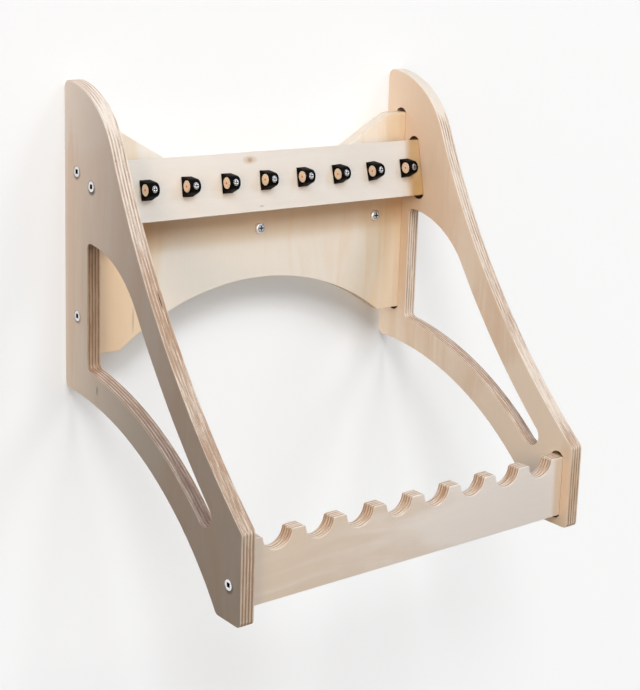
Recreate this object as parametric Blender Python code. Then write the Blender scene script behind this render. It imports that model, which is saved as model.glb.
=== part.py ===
"""Wall-hung saw till: two plywood sides, three cross pieces and a row of magnetic blade holders.

Units are metres. X runs across the till, the wall is the plane Y = 0, the front faces -Y, and Z = 0 is
the underside of the feet. Side outlines are drawn as (distance forward of the wall, height).
"""
import math

import bmesh
import bpy
from mathutils import Matrix, Vector

# Plywood and fits
PLY = 0.012
FIT = 0.0003

# Whole till
WIDTH = 0.3426
DEPTH = 0.2464
HEIGHT = 0.3596

# Side panels
REAR_BOTTOM = 0.1132
FOOT_LENGTH = 0.0294
FRONT_EDGE = 0.0701
CROWN_RADIUS = 0.0776
FRONT_CURVE_RADIUS = 0.673
REAR_CORNER = 0.006
FOOT_CORNER = 0.004
FRONT_CORNER = 0.005

# Slot in each side panel
LOWER_STRAP = 0.024
FRONT_STRAP = 0.0232
REAR_STILE = 0.0345
SLOT_TOP_DROP = 0.1227
SLOT_TIP_SETBACK = 0.0466
SLOT_CORNER = 0.005

# Mortises in the sides
MORTISE_DEPTH = 0.006
RELIEF = 0.0033

# Back panel
BACK_GAP = 0.012
BACK_TOP_DROP = 0.0374
BACK_BOTTOM_RISE = 0.0302
ARCH_RISE = 0.0452
ARCH_END_FLAT = 0.0239
ARCH_CORNER = 0.003
EAR_FLAT = 0.019
EAR_SLOPE = math.radians(29.5)
EAR_CORNER = 0.014
DIP_DEPTH = 0.032
DIP_CORNER = 0.02

# Magnet rail, placed by its lower front edge
MAGNET_RAIL_HEIGHT = 0.0491
MAGNET_RAIL_DROP = 0.1079
MAGNET_RAIL_FORWARD = 0.0523
MAGNET_RAIL_LEAN = math.radians(11.75)

# Front rail
FRONT_RAIL_HEIGHT = 0.0508
FRONT_RAIL_BOTTOM = 0.0092
FRONT_RAIL_INSET = 0.0094
PITCH = 0.0381
NOTCH_RADIUS = 0.0128
NOTCH_CORNER = 0.002

# Blade holders; each block stands turned a little on its one screw
HOLDER_HEIGHT = 0.0162
HOLDER_REACH = 0.013
HOLDER_WIDTH = 0.01
HOLDER_EDGE = 0.0004
HOLDER_SCREW_INSET = 0.006
HOLDER_SIDESTEP = 0.0077
HOLDER_RISE = 0.025
HOLDER_TURNS = [math.radians(turn) for turn in (0, -2, -1, -2, 0, 3, 3.5, 0.5)]
NOSE_RADIUS = 0.0058
COUNTERBORE = 0.0026
MAGNET_RADIUS = 0.00475
MAGNET_THICKNESS = 0.0016
MAGNET_CHAMFER = 0.0004

# Screws
HOLDER_SCREW_RADIUS = 0.0015
HOLDER_SCREW_LENGTH = 0.018
HOLDER_HEAD_RADIUS = 0.003
HOLDER_HEAD_HEIGHT = 0.0021
SIDE_SCREW_RADIUS = 0.002
SIDE_SCREW_LENGTH = 0.04
SIDE_HEAD_RADIUS = 0.0041
SIDE_HEAD_HEIGHT = 0.0028
SIDE_HEAD_RIM = 0.0004
WALL_SCREW_RADIUS = 0.0023
WALL_SCREW_LENGTH = 0.045
WALL_HEAD_RADIUS = 0.0047
WALL_HEAD_HEIGHT = 0.003
WALL_SCREW_INSET = 0.0323
WALL_SCREW_DROP = 0.0907
BACK_SCREW_TOP_DROP = 0.0324
BACK_SCREW_BOTTOM_RISE = 0.0319
RAIL_SCREW_RISE = 0.0314
FRONT_SCREW_RISE = 0.0183
SCREW_POINT = 0.005

# Screw heads, smoothing and fillets: the straight share of a pan head's height, the sharpest edge that is
# shaded smooth, the share of a neighbouring line that a fillet may take, and points that count as one
HEAD_WALL = 0.45
SMOOTH_ANGLE = math.radians(35)
FILLET_SHARE = 0.9
MERGE = 1e-6

# Facets, halvings in a search, and how far a cutter overshoots
CURVE_STEPS = 22
CORNER_STEPS = 4
NOSE_STEPS = 14
ROUND_SIDES = 14
DISC_SIDES = 24
DOME_STEPS = 3
HALVINGS = 40
OVERSHOOT = 0.002

# Derived places
INNER_WIDTH = WIDTH - 2 * PLY
TENON = MORTISE_DEPTH - FIT
CROSS_LENGTH = INNER_WIDTH + 2 * TENON
BACK_BOTTOM = REAR_BOTTOM + BACK_BOTTOM_RISE
BACK_HEIGHT = HEIGHT - BACK_TOP_DROP - BACK_BOTTOM
STATIONS = int(INNER_WIDTH // PITCH)
STATION_X = [(index - (STATIONS - 1) / 2) * PITCH for index in range(STATIONS)]
HEAD_SEAT = HOLDER_REACH - COUNTERBORE
WALL_SCREW_REACH = INNER_WIDTH / 2 - WALL_SCREW_INSET
WALL_SCREW_X = {"left": -WALL_SCREW_REACH, "middle": 0, "right": WALL_SCREW_REACH}

# Frames of the cross pieces: X across, -Y out of the front face, Z up the piece from its lower edge,
# with the origin in the middle of the thickness
BACK_FRAME = Matrix.Translation((0, -BACK_GAP - PLY / 2, BACK_BOTTOM))
FRONT_FRAME = Matrix.Translation((0, -DEPTH + FRONT_RAIL_INSET + PLY / 2, FRONT_RAIL_BOTTOM))
MAGNET_FRAME = (
    Matrix.Translation((0, -MAGNET_RAIL_FORWARD, HEIGHT - MAGNET_RAIL_DROP))
    @ Matrix.Rotation(-MAGNET_RAIL_LEAN, 4, "X")
    @ Matrix.Translation((0, PLY / 2, 0))
)
CROSS_PIECES = (
    (BACK_FRAME, BACK_HEIGHT),
    (MAGNET_FRAME, MAGNET_RAIL_HEIGHT),
    (FRONT_FRAME, FRONT_RAIL_HEIGHT),
)
SIDE_SCREWS = (
    ("back_screw_upper", BACK_FRAME, BACK_HEIGHT - BACK_SCREW_TOP_DROP),
    ("back_screw_lower", BACK_FRAME, BACK_SCREW_BOTTOM_RISE),
    ("rail_screw", MAGNET_FRAME, RAIL_SCREW_RISE),
    ("front_screw", FRONT_FRAME, FRONT_SCREW_RISE),
)

# Drawing planes: a front view, run towards the front, and a side view drawn forwards and up, run along X
TO_FRONT = Matrix.Rotation(math.radians(90), 4, "X")
SIDE_VIEW = Matrix(((0, 0, 1, 0), (-1, 0, 0, 0), (0, 1, 0, 0), (0, 0, 0, 1)))


def to_side(side):
    """Turns +Z out of the left face (side -1) or the right face (side 1)."""
    return Matrix.Rotation(side * math.radians(90), 4, "Y")


def arc(centre, radius, start, end, steps):
    """Points of an arc from the direction of one point to that of another, as plain outline points."""
    first = math.atan2(start[1] - centre[1], start[0] - centre[0])
    last = math.atan2(end[1] - centre[1], end[0] - centre[0])
    sweep = (last - first + math.pi) % (2 * math.pi) - math.pi
    angles = [first + sweep * step / steps for step in range(steps + 1)]
    return [(centre[0] + radius * math.cos(a), centre[1] + radius * math.sin(a), 0) for a in angles]


def meeting(centre_a, radius_a, centre_b, radius_b):
    """The crossing of two circles that lies to the left of the way from a to b."""
    a = Vector(centre_a)
    span = Vector(centre_b) - a
    along = (span.length_squared + radius_a**2 - radius_b**2) / (2 * span.length)
    aside = math.sqrt(radius_a**2 - along**2)
    way = span.normalized()
    return a + way * along + Vector((-way.y, way.x)) * aside


def rounded(outline):
    """Outline points (u, v) with every corner (u, v, radius) replaced by an arc."""
    points = []
    for index, (u, v, radius) in enumerate(outline):
        corner = Vector((u, v))
        if not radius:
            points.append(corner)
            continue
        before = Vector(outline[index - 1][:2]) - corner
        after = Vector(outline[(index + 1) % len(outline)][:2]) - corner
        half = before.angle(after) / 2
        reach = min(radius / math.tan(half), FILLET_SHARE * before.length, FILLET_SHARE * after.length)
        inside = (before.normalized() + after.normalized()).normalized()
        centre = corner + inside * (reach / math.cos(half))
        start = corner + before.normalized() * reach
        end = corner + after.normalized() * reach
        points += [Vector(p[:2]) for p in arc(centre, reach * math.tan(half), start, end, CORNER_STEPS)]
    return points


def solid(shape):
    """A mesh from a finished bmesh, with its faces pointing outwards."""
    bmesh.ops.remove_doubles(shape, verts=shape.verts, dist=MERGE)
    bmesh.ops.recalc_face_normals(shape, faces=shape.faces)
    mesh = bpy.data.meshes.new("shape")
    shape.to_mesh(mesh)
    shape.free()
    return mesh


def add_prism(shape, outline, frame, low, high):
    """Adds an outline drawn on the frame's X and Y, run along the frame's Z from low to high."""
    rim = [shape.verts.new(frame @ Vector((u, v, low))) for u, v in outline]
    run = bmesh.ops.extrude_face_region(shape, geom=[shape.faces.new(rim)])
    moved = [item for item in run["geom"] if isinstance(item, bmesh.types.BMVert)]
    bmesh.ops.translate(shape, verts=moved, vec=frame.to_3x3() @ Vector((0, 0, high - low)))


def add_turned(shape, profile, frame, sides):
    """Adds a profile of (radius, height) points, from axis to axis, spun round the frame's Z."""
    points = [shape.verts.new(frame @ Vector((radius, 0, height))) for radius, height in profile]
    edges = [shape.edges.new(pair) for pair in zip(points, points[1:])]
    bmesh.ops.spin(
        shape,
        geom=points + edges,
        cent=frame.translation,
        axis=frame.to_3x3() @ Vector((0, 0, 1)),
        angle=2 * math.pi,
        steps=sides,
    )


def finish(name, colour, roughness, metallic):
    """A plain material for one kind of piece."""
    material = bpy.data.materials.new(name)
    material.use_nodes = True
    shader = material.node_tree.nodes["Principled BSDF"]
    shader.inputs["Base Color"].default_value = (*colour, 1)
    shader.inputs["Roughness"].default_value = roughness
    shader.inputs["Metallic"].default_value = metallic
    return material


def piece(name, mesh, material, parent, place=Matrix()):
    """A named object of one material, placed in its parent's frame."""
    mesh.materials.clear()
    mesh.materials.append(material)
    part = bpy.data.objects.new(name, mesh)
    bpy.context.scene.collection.objects.link(part)
    part.parent = parent
    part.matrix_basis = place
    return part


def empty(name, parent, place):
    """A frame that pieces hang on."""
    holder = bpy.data.objects.new(name, None)
    bpy.context.scene.collection.objects.link(holder)
    holder.parent = parent
    holder.matrix_basis = place
    return holder


def cut(part, name, mesh):
    """Cuts a hidden shape, drawn in the part's own frame, out of the part."""
    cutter = bpy.data.objects.new(f"{part.name}_{name}", mesh)
    bpy.context.scene.collection.objects.link(cutter)
    cutter.parent = part.parent
    cutter.matrix_basis = part.matrix_basis
    cutter.hide_render = True
    cutter.display_type = "WIRE"
    modifier = part.modifiers.new(name, "BOOLEAN")
    modifier.operation = "DIFFERENCE"
    modifier.object = cutter


def smooth(mesh):
    """Shades a round piece smooth between its edges."""
    mesh.shade_smooth()
    mesh.set_sharp_from_angle(angle=SMOOTH_ANGLE)


def side_outlines():
    """The outer outline of a side panel and the outline of its slot."""
    toe = DEPTH - FOOT_LENGTH
    sink = (REAR_BOTTOM**2 - toe**2) / (2 * REAR_BOTTOM)
    lower_centre = (0, sink)
    lower_radius = REAR_BOTTOM - sink
    crown_centre = (0, HEIGHT - CROWN_RADIUS)
    brow = (DEPTH, FRONT_EDGE)
    front_centre = meeting(crown_centre, FRONT_CURVE_RADIUS + CROWN_RADIUS, brow, FRONT_CURVE_RADIUS)
    lower = arc(lower_centre, lower_radius, (0, REAR_BOTTOM), (toe, 0), CURVE_STEPS)
    front = arc(front_centre, FRONT_CURVE_RADIUS, brow, crown_centre, CURVE_STEPS)
    crown = arc(crown_centre, CROWN_RADIUS, front_centre, (0, HEIGHT), CURVE_STEPS // 2)
    outer = [(0, REAR_BOTTOM, REAR_CORNER), *lower[1:-1], (toe, 0, FOOT_CORNER)]
    outer += [(DEPTH, 0, FOOT_CORNER), (*brow, FRONT_CORNER), *front[1:], *crown[1:-1]]
    outer += [(0, HEIGHT, REAR_CORNER)]
    return rounded(outer), slot_outline(lower_centre, lower_radius, front_centre)


def slot_outline(lower_centre, lower_radius, front_centre):
    """The slot: it follows the lower and front edges at the straps' widths, with a round tip and top."""
    floor_radius = lower_radius + LOWER_STRAP
    brow_radius = FRONT_CURVE_RADIUS + FRONT_STRAP
    top = HEIGHT - SLOT_TOP_DROP
    across = front_centre.x - REAR_STILE
    above = front_centre.y - top
    top_radius = (across**2 + above**2 - brow_radius**2) / (2 * (brow_radius - above))
    top_centre = (REAR_STILE, top - top_radius)
    tip = slot_tip(lower_centre, floor_radius, front_centre, brow_radius)
    tip_radius = (tip - Vector(lower_centre)).length - floor_radius
    heel = (REAR_STILE, lower_centre[1] + math.sqrt(floor_radius**2 - REAR_STILE**2))
    floor = arc(lower_centre, floor_radius, heel, tip, CURVE_STEPS)
    nose = tip - (front_centre - Vector(lower_centre)).orthogonal()
    end = arc(tip, tip_radius, lower_centre, nose, CORNER_STEPS)
    end += arc(tip, tip_radius, nose, front_centre, CORNER_STEPS)[1:]
    brow = arc(front_centre, brow_radius, tip, top_centre, CURVE_STEPS)
    crown = arc(top_centre, top_radius, front_centre, (REAR_STILE, top), CURVE_STEPS // 2)
    slot = [(*heel, SLOT_CORNER), *floor[1:-1], *end, *brow[1:], *crown[1:-1]]
    slot += [(REAR_STILE, top, SLOT_CORNER)]
    return rounded(slot)


def slot_tip(lower_centre, floor_radius, front_centre, brow_radius):
    """The centre of the slot's round tip, as far from its lower edge as from its front edge."""
    forward = DEPTH - SLOT_TIP_SETBACK
    low = lower_centre[1] + math.sqrt(floor_radius**2 - forward**2)
    high = front_centre.y - math.sqrt(brow_radius**2 - (front_centre.x - forward) ** 2)
    for _ in range(HALVINGS):
        tip = Vector((forward, (low + high) / 2))
        if (tip - Vector(lower_centre)).length - floor_radius < (tip - front_centre).length - brow_radius:
            low = tip.y
        else:
            high = tip.y
    return tip


def mortise_outline(height):
    """A pocket for a cross piece's end, with a shallow round relief past its top and bottom edges."""
    half = PLY / 2 + FIT
    radius = (half**2 + RELIEF**2) / (2 * RELIEF)
    low = -FIT
    high = height + FIT
    bottom = arc((0, low - RELIEF + radius), radius, (-half, low), (half, low), 2 * CORNER_STEPS)
    top = arc((0, high + RELIEF - radius), radius, (half, high), (-half, high), 2 * CORNER_STEPS)
    return [(u, v) for u, v, _ in bottom + top]


def countersunk(radius, head_radius, head_height, rim, length):
    """The profile of a countersunk screw whose flat head is at height 0."""
    return [(0, 0), (head_radius, 0), (head_radius, -rim), (radius, -head_height),
            (radius, SCREW_POINT - length), (0, -length)]


def pan_head(radius, head_radius, head_height, length):
    """The profile of a pan-head screw whose head sits on height 0."""
    dome = []
    for step in range(DOME_STEPS + 1):
        angle = math.radians(90) * (1 - step / DOME_STEPS)
        rise = HEAD_WALL + (1 - HEAD_WALL) * math.sin(angle)
        dome.append((head_radius * math.cos(angle), head_height * rise))
    dome[0] = (0, head_height)
    return [*dome, (head_radius, 0), (radius, 0), (radius, SCREW_POINT - length), (0, -length)]


def pilot(radius, length):
    """The profile of a screw's hole, from above height 0 to just past the screw's point."""
    return [(0, OVERSHOOT), (radius + FIT, OVERSHOOT), (radius + FIT, -length - FIT), (0, -length - FIT)]


def countersunk_hole():
    """The profile of a side screw's hole, with the seat for its head."""
    return [(0, OVERSHOOT), (SIDE_HEAD_RADIUS + FIT, OVERSHOOT), (SIDE_HEAD_RADIUS + FIT, -SIDE_HEAD_RIM),
            (SIDE_SCREW_RADIUS + FIT, -SIDE_HEAD_HEIGHT), (SIDE_SCREW_RADIUS + FIT, -PLY - OVERSHOOT),
            (0, -PLY - OVERSHOOT)]


def side_screw_place(frame, rise, side):
    """A side screw's frame: on the outer face, with +Z out of it."""
    return frame @ Matrix.Translation((side * WIDTH / 2, 0, rise)) @ to_side(side)


def holder_place(index):
    """A holder's frame: on the magnet rail's front face, with -Y out of it, turned on its screw."""
    foot = (STATION_X[index] + HOLDER_SIDESTEP, -PLY / 2, HOLDER_RISE)
    turn = HOLDER_TURNS[index % len(HOLDER_TURNS)]
    return MAGNET_FRAME @ Matrix.Translation(foot) @ Matrix.Rotation(-turn, 4, "Y")


def make_side(name, side, material, parent):
    """One side panel, with its slot, its mortises and its screw holes."""
    outer, slot = side_outlines()
    inner = side * (WIDTH / 2 - PLY)
    panel = bmesh.new()
    add_prism(panel, outer, SIDE_VIEW, inner, side * WIDTH / 2)
    part = piece(name, solid(panel), material, parent)
    opening = bmesh.new()
    add_prism(opening, slot, SIDE_VIEW, inner - side * OVERSHOOT, side * (WIDTH / 2 + OVERSHOOT))
    cut(part, "slot", solid(opening))
    mortises = bmesh.new()
    for frame, height in CROSS_PIECES:
        floor = inner + side * MORTISE_DEPTH
        add_prism(mortises, mortise_outline(height), frame @ SIDE_VIEW, inner - side * OVERSHOOT, floor)
    cut(part, "mortises", solid(mortises))
    holes = bmesh.new()
    for _, frame, rise in SIDE_SCREWS:
        add_turned(holes, countersunk_hole(), side_screw_place(frame, rise, side), ROUND_SIDES)
    cut(part, "screw_holes", solid(holes))
    return part


def end_holes(shape, frame):
    """Adds the holes for the side screws in the ends of a cross piece, drawn in the piece's own frame."""
    reach = SIDE_SCREW_LENGTH - (PLY - TENON)
    for _, owner, rise in SIDE_SCREWS:
        if owner is not frame:
            continue
        for side in (-1, 1):
            place = Matrix.Translation((side * CROSS_LENGTH / 2, 0, rise)) @ to_side(side)
            add_turned(shape, pilot(SIDE_SCREW_RADIUS, reach), place, ROUND_SIDES)


def back_outline():
    """The back panel: an arch below, and above it a dip between two ears."""
    end = CROSS_LENGTH / 2
    inner = INNER_WIDTH / 2
    spring = inner - ARCH_END_FLAT
    arch_radius = (spring**2 + ARCH_RISE**2) / (2 * ARCH_RISE)
    arch = arc((0, ARCH_RISE - arch_radius), arch_radius, (-spring, 0), (spring, 0), 2 * CURVE_STEPS)
    ear = inner - EAR_FLAT
    dip = ear - DIP_DEPTH / math.tan(EAR_SLOPE)
    valley = BACK_HEIGHT - DIP_DEPTH
    outline = [(-end, 0, 0), (-spring, 0, ARCH_CORNER), *arch[1:-1], (spring, 0, ARCH_CORNER), (end, 0, 0)]
    outline += [(end, BACK_HEIGHT, 0), (ear, BACK_HEIGHT, EAR_CORNER), (dip, valley, DIP_CORNER)]
    outline += [(-dip, valley, DIP_CORNER), (-ear, BACK_HEIGHT, EAR_CORNER), (-end, BACK_HEIGHT, 0)]
    return rounded(outline)


def front_outline():
    """The front rail: half-round notches along its top edge, with eased corners."""
    end = CROSS_LENGTH / 2
    top = FRONT_RAIL_HEIGHT
    outline = [(end, 0, 0), (end, top, 0)]
    for x in reversed(STATION_X):
        bowl = arc((x, top), NOTCH_RADIUS, (x + NOTCH_RADIUS, top), (x, top - NOTCH_RADIUS), NOSE_STEPS // 2)
        other = arc((x, top), NOTCH_RADIUS, (x, top - NOTCH_RADIUS), (x - NOTCH_RADIUS, top), NOSE_STEPS // 2)
        outline += [(x + NOTCH_RADIUS, top, NOTCH_CORNER), *bowl[1:], *other[1:-1]]
        outline += [(x - NOTCH_RADIUS, top, NOTCH_CORNER)]
    outline += [(-end, top, 0), (-end, 0, 0)]
    return rounded(outline)


def make_cross_piece(name, outline, frame, material, parent, holes):
    """A plywood cross piece from its front outline, with its holes."""
    panel = bmesh.new()
    add_prism(panel, outline, TO_FRONT, -PLY / 2, PLY / 2)
    part = piece(name, solid(panel), material, parent, frame)
    end_holes(holes, frame)
    cut(part, "holes", solid(holes))
    return part


def wall_screw_place(x):
    """A wall screw's frame in the back panel's frame, on its front face."""
    return Matrix.Translation((x, -PLY / 2 - FIT, BACK_HEIGHT - WALL_SCREW_DROP)) @ TO_FRONT


def back_holes():
    """The wall screws' clearance holes."""
    holes = bmesh.new()
    profile = pilot(WALL_SCREW_RADIUS, PLY + OVERSHOOT)
    for x in WALL_SCREW_X.values():
        add_turned(holes, profile, wall_screw_place(x), ROUND_SIDES)
    return holes


def rail_holes():
    """The holder screws' holes in the magnet rail."""
    holes = bmesh.new()
    bite = HOLDER_SCREW_LENGTH - HEAD_SEAT
    for x in STATION_X:
        place = Matrix.Translation((x + HOLDER_SIDESTEP, -PLY / 2, HOLDER_RISE)) @ TO_FRONT
        add_turned(holes, pilot(HOLDER_SCREW_RADIUS, bite), place, ROUND_SIDES)
    return holes


def block_mesh():
    """A block that is flat against the rail and tapers to a round nose, with -Y out of the rail."""
    centre = Vector((HOLDER_REACH - NOSE_RADIUS, 0))
    corner = Vector((FIT, HOLDER_HEIGHT / 2))
    away = corner - centre
    spread = math.atan2(away.y, away.x) - math.acos(NOSE_RADIUS / away.length)
    upper = centre + Vector((math.cos(spread), math.sin(spread)))
    lower = centre + Vector((math.cos(spread), -math.sin(spread)))
    tip = (HOLDER_REACH, 0)
    nose = arc(centre, NOSE_RADIUS, lower, tip, NOSE_STEPS // 2)
    nose += arc(centre, NOSE_RADIUS, tip, upper, NOSE_STEPS // 2)[1:]
    outline = [(FIT, -HOLDER_HEIGHT / 2), *[(u, v) for u, v, _ in nose], (FIT, HOLDER_HEIGHT / 2)]
    left = -HOLDER_SCREW_INSET
    shape = bmesh.new()
    add_prism(shape, outline, SIDE_VIEW, left, left + HOLDER_WIDTH)
    rims = [edge for edge in shape.edges if abs(edge.verts[0].co.x - edge.verts[1].co.x) < FIT]
    bmesh.ops.bevel(shape, geom=rims, offset=HOLDER_EDGE, segments=2, profile=0.5, affect="EDGES")
    return solid(shape)


def magnet_pocket():
    """The magnet's pocket in the block's left face."""
    pocket = bmesh.new()
    add_turned(pocket, pilot(MAGNET_RADIUS, MAGNET_THICKNESS), magnet_place(), DISC_SIDES)
    return solid(pocket)


def screw_hole():
    """The stepped hole for the screw, through the block's nose."""
    head = HOLDER_HEAD_RADIUS + FIT
    shank = HOLDER_SCREW_RADIUS + FIT
    mouth = COUNTERBORE + OVERSHOOT
    bottom = -HEAD_SEAT - OVERSHOOT
    profile = [(0, mouth), (head, mouth), (head, 0), (shank, 0), (shank, bottom), (0, bottom)]
    hole = bmesh.new()
    add_turned(hole, profile, Matrix.Translation((0, -HEAD_SEAT, 0)) @ TO_FRONT, ROUND_SIDES)
    return solid(hole)


def magnet_place():
    """The magnet's frame in its block: on the left face, round the nose's centre."""
    return Matrix.Translation((-HOLDER_SCREW_INSET, NOSE_RADIUS - HOLDER_REACH, 0)) @ to_side(-1)


def turned_mesh(profile, sides):
    """A mesh of one turned piece."""
    shape = bmesh.new()
    add_turned(shape, profile, Matrix(), sides)
    mesh = solid(shape)
    smooth(mesh)
    return mesh


def make_holders(parent, plastic, nickel, zinc):
    """The blade holders: each block and its magnet hang on a frame on the screw's axis."""
    rim = MAGNET_RADIUS - MAGNET_CHAMFER
    disc = [(0, 0), (rim, 0), (MAGNET_RADIUS, -MAGNET_CHAMFER), (MAGNET_RADIUS, -MAGNET_THICKNESS),
            (0, -MAGNET_THICKNESS)]
    block = block_mesh()
    smooth(block)
    pocket = magnet_pocket()
    hole = screw_hole()
    magnet = turned_mesh(disc, DISC_SIDES)
    profile = pan_head(HOLDER_SCREW_RADIUS, HOLDER_HEAD_RADIUS, HOLDER_HEAD_HEIGHT, HOLDER_SCREW_LENGTH)
    screw = turned_mesh(profile, ROUND_SIDES)
    seat = Matrix.Translation((0, -HEAD_SEAT - FIT, 0)) @ TO_FRONT
    for index in range(STATIONS):
        number = index + 1
        pivot = empty(f"holder_{number}", parent, holder_place(index))
        part = piece(f"holder_block_{number}", block, plastic, pivot)
        cut(part, "pocket", pocket)
        cut(part, "hole", hole)
        piece(f"holder_magnet_{number}", magnet, nickel, pivot, magnet_place())
        piece(f"holder_screw_{number}", screw, zinc, pivot, seat)


def make_screws(parent, zinc):
    """The screws through the sides and the screws into the wall."""
    profile = countersunk(SIDE_SCREW_RADIUS, SIDE_HEAD_RADIUS, SIDE_HEAD_HEIGHT, SIDE_HEAD_RIM,
                          SIDE_SCREW_LENGTH)
    side_screw = turned_mesh(profile, ROUND_SIDES)
    for name, frame, rise in SIDE_SCREWS:
        for side, word in ((-1, "left"), (1, "right")):
            piece(f"{name}_{word}", side_screw, zinc, parent, side_screw_place(frame, rise, side))
    profile = pan_head(WALL_SCREW_RADIUS, WALL_HEAD_RADIUS, WALL_HEAD_HEIGHT, WALL_SCREW_LENGTH)
    wall_screw = turned_mesh(profile, ROUND_SIDES)
    for word, x in WALL_SCREW_X.items():
        piece(f"wall_screw_{word}", wall_screw, zinc, parent, BACK_FRAME @ wall_screw_place(x))


def main():
    for old in list(bpy.data.objects):
        bpy.data.objects.remove(old)
    birch = finish("birch_plywood", (0.74, 0.60, 0.44), 0.55, 0)
    pale_birch = finish("pale_birch_plywood", (0.80, 0.70, 0.58), 0.5, 0)
    plastic = finish("black_plastic", (0.012, 0.012, 0.013), 0.3, 0)
    nickel = finish("nickel", (0.75, 0.68, 0.60), 0.15, 1)
    zinc = finish("zinc_steel", (0.62, 0.63, 0.65), 0.3, 1)
    till = empty("saw_till", None, Matrix())
    make_side("left_side", -1, birch, till)
    make_side("right_side", 1, birch, till)
    make_cross_piece("back_panel", back_outline(), BACK_FRAME, birch, till, back_holes())
    end = CROSS_LENGTH / 2
    plank = [(-end, 0), (end, 0), (end, MAGNET_RAIL_HEIGHT), (-end, MAGNET_RAIL_HEIGHT)]
    make_cross_piece("magnet_rail", plank, MAGNET_FRAME, pale_birch, till, rail_holes())
    make_cross_piece("front_rail", front_outline(), FRONT_FRAME, pale_birch, till, bmesh.new())
    make_holders(till, plastic, nickel, zinc)
    make_screws(till, zinc)


main()
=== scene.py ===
"""Looks of the wall-hung saw till: birch plywood boards, black blade holders, magnets and screws.

Units are metres in the part's own frame: X across the till, the wall at Y = 0, the front towards -Y, and
Z = 0 at the underside of the feet. A screw is modelled with +Z out of its head.
"""

import math

import bpy
from mathutils import Matrix, Vector


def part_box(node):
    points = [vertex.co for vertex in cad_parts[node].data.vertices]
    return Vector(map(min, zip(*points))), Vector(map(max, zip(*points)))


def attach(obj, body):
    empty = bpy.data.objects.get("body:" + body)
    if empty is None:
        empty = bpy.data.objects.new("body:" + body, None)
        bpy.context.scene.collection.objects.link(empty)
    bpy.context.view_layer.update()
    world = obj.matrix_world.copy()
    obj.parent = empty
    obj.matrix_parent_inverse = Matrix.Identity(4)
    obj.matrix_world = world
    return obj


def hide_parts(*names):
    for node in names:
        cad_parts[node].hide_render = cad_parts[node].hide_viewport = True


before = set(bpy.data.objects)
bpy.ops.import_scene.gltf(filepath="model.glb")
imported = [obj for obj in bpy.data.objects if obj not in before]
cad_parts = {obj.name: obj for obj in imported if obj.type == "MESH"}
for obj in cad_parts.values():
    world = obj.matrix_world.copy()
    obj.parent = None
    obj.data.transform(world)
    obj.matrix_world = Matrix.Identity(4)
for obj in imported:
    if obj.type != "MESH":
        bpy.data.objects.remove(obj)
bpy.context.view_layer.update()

# Till, as in the part's source
PLY = 0.012
FIT = 0.0003
WIDTH = 0.3426
DEPTH = 0.2464
BACK_GAP = 0.012
FRONT_RAIL_INSET = 0.0094
RAIL_LEAN = math.radians(11.75)
RAIL_LOWER_EDGE = Vector((0, -0.0523, 0.2517))

# Blade holders
STATIONS = 8
PITCH = 0.0381
HOLDER_HEIGHT = 0.0162
HOLDER_REACH = 0.013
HOLDER_WIDTH = 0.01
HOLDER_EDGE = 0.0004
HOLDER_SCREW_INSET = 0.006
HOLDER_SIDESTEP = 0.0077
HOLDER_RISE = 0.025
HOLDER_TURNS = (0, -2, -1, -2, 0, 3, 3.5, 0.5)
NOSE_RADIUS = 0.0058
COUNTERBORE = 0.0026
HEAD_SEAT = HOLDER_REACH - COUNTERBORE
MAGNET_RADIUS = 0.00475
MAGNET_THICKNESS = 0.0016
MAGNET_CHAMFER = 0.0003
DIMPLE_RADIUS = 0.0008
DIMPLE_DEPTH = 0.0003
DIMPLE_TAPER = 0.6

# Screws: shank radius, head radius, head height, length
HOLDER_SCREW = (0.0015, 0.003, 0.0021, 0.018)
SIDE_SCREW = (0.002, 0.0041, 0.0028, 0.04)
WALL_SCREW = (0.0023, 0.0047, 0.003, 0.045)
SIDE_HEAD_RIM = 0.0004
HEAD_SINK = 0.0004
SCREW_POINT = 0.005
POINT_SHARE = 0.06
ROOT_SHARE = 0.74
PAN_ROUNDING = 0.6
THREAD_START = 0.002
THREAD_PITCH = 0.8
THREAD_SPREAD = 0.3
THREAD_SINK = 0.0002
SIDE_SCREWS = ("back_screw_upper", "back_screw_lower", "rail_screw", "front_screw")
BLOCK_SCREWS = tuple(f"block_screw_{number}" for number in range(1, STATIONS + 1))

# Driver recesses: an arm's length and width, its depth, the share left at its bottom, the arms' turns
CROSS_ARMS = (0, math.radians(90))
HOLDER_CROSS = {"bar": (0.0042, 0.0012), "depth": 0.0012, "taper": 0.5, "turns": CROSS_ARMS}
SIDE_SQUARE = {"bar": (0.004, 0.004), "depth": 0.0022, "taper": 0.8, "turns": (0,)}
WALL_CROSS = {"bar": (0.006, 0.0015), "depth": 0.0017, "taper": 0.55, "turns": CROSS_ARMS}

# Painted shade in the gap beside a sunk screw head: its reach in head radii, its place, its depth and
# its strength
HEAD_GAP_REACH = 1.55
HEAD_GAP_DROP = 0.0008
HEAD_GAP_FRONT = 0.0014
HEAD_GAP_DEPTH = 0.001
HEAD_GAP_SHADE = 0.9

# Camera, found from the picture's vanishing lines
CAMERA_PLACE = (-0.7315, -1.02394, 0.46479)
CAMERA_YAW = math.radians(38.2464)
CAMERA_PITCH = math.radians(-12.4527)
CAMERA_ROLL = math.radians(1.8007)
CAMERA_LENS = 77.776
CAMERA_SHIFT = (0.01387, -0.1006)

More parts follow.
